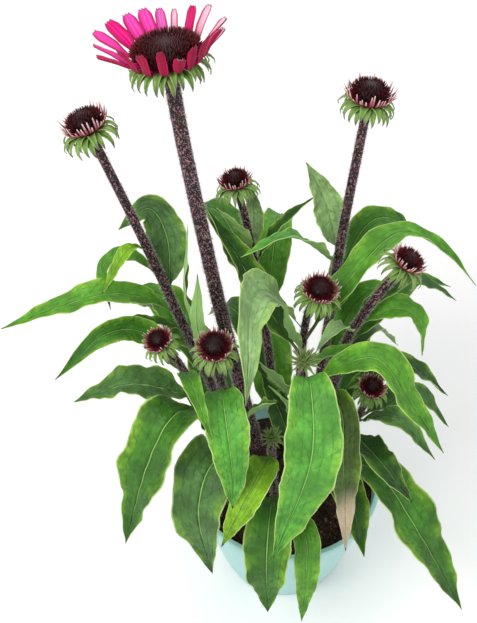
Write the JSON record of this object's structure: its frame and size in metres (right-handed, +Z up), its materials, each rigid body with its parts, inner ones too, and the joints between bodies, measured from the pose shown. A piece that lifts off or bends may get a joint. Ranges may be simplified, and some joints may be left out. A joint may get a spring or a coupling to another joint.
{
  "type": "potted coneflower plant",
  "caption": "Potted flowering perennial: leafy stems with an open daisy-like bloom and dark spiny buds standing in a filled round pot.",
  "frame": {"origin": "centre of the pot's flat base", "axes": "+Z up along the stems, +X to the right and +Y away from the viewer as the picture shows the plant"},
  "size_m": [0.3087, 0.2587, 0.479],
  "materials": {
    "pot": "pale mint moulded plastic, satin",
    "soil": "dark fibrous potting mix",
    "leaf": "fresh green, softly rough, paler veins and margin",
    "stem": "near-black maroon, bristly",
    "bract": "pale green with pale margins and dark tips",
    "petal": "hot magenta, silky, paler streaks",
    "ray_stub": "crimson with grey tips",
    "cone": "deep maroon, spiny"
  },
  "bodies": {
    "root": {"pot": "pot", "soil": "soil", "leafy_stem_open_bloom": "leaf", "leafy_stem_left_bud": "leaf", "leafy_stem_right_bud": "leaf", "leafy_stem_back_head": "leaf", "leafy_stem_right_head": "leaf", "leafy_stem_middle_head": "leaf", "leafy_stem_left_head": "leaf", "leafy_stem_front_head": "leaf", "leafy_stem_centre_tuft": "leaf", "leafy_stem_lower_head": "leaf", "leafy_stem_lower_tuft": "leaf", "open_bloom_bracts": "bract", "open_bloom_petals": "petal", "open_bloom_cone": "cone", "left_bud_bracts": "bract", "left_bud_rays": "ray_stub", "left_bud_cone": "cone", "right_bud_bracts": "bract", "right_bud_rays": "ray_stub", "right_bud_cone": "cone", "back_head_bracts": "bract", "back_head_rays": "ray_stub", "back_head_cone": "cone", "right_head_bracts": "bract", "right_head_rays": "ray_stub", "right_head_cone": "cone", "middle_head_bracts": "bract", "middle_head_rays": "ray_stub", "middle_head_cone": "cone", "left_head_bracts": "bract", "left_head_rays": "ray_stub", "left_head_cone": "cone", "front_head_bracts": "bract", "front_head_rays": "ray_stub", "front_head_cone": "cone", "lower_head_bracts": "bract", "lower_head_rays": "ray_stub", "lower_head_cone": "cone", "centre_tuft_bracts": "bract", "lower_tuft_bracts": "bract"}
  },
  "joints": []
}
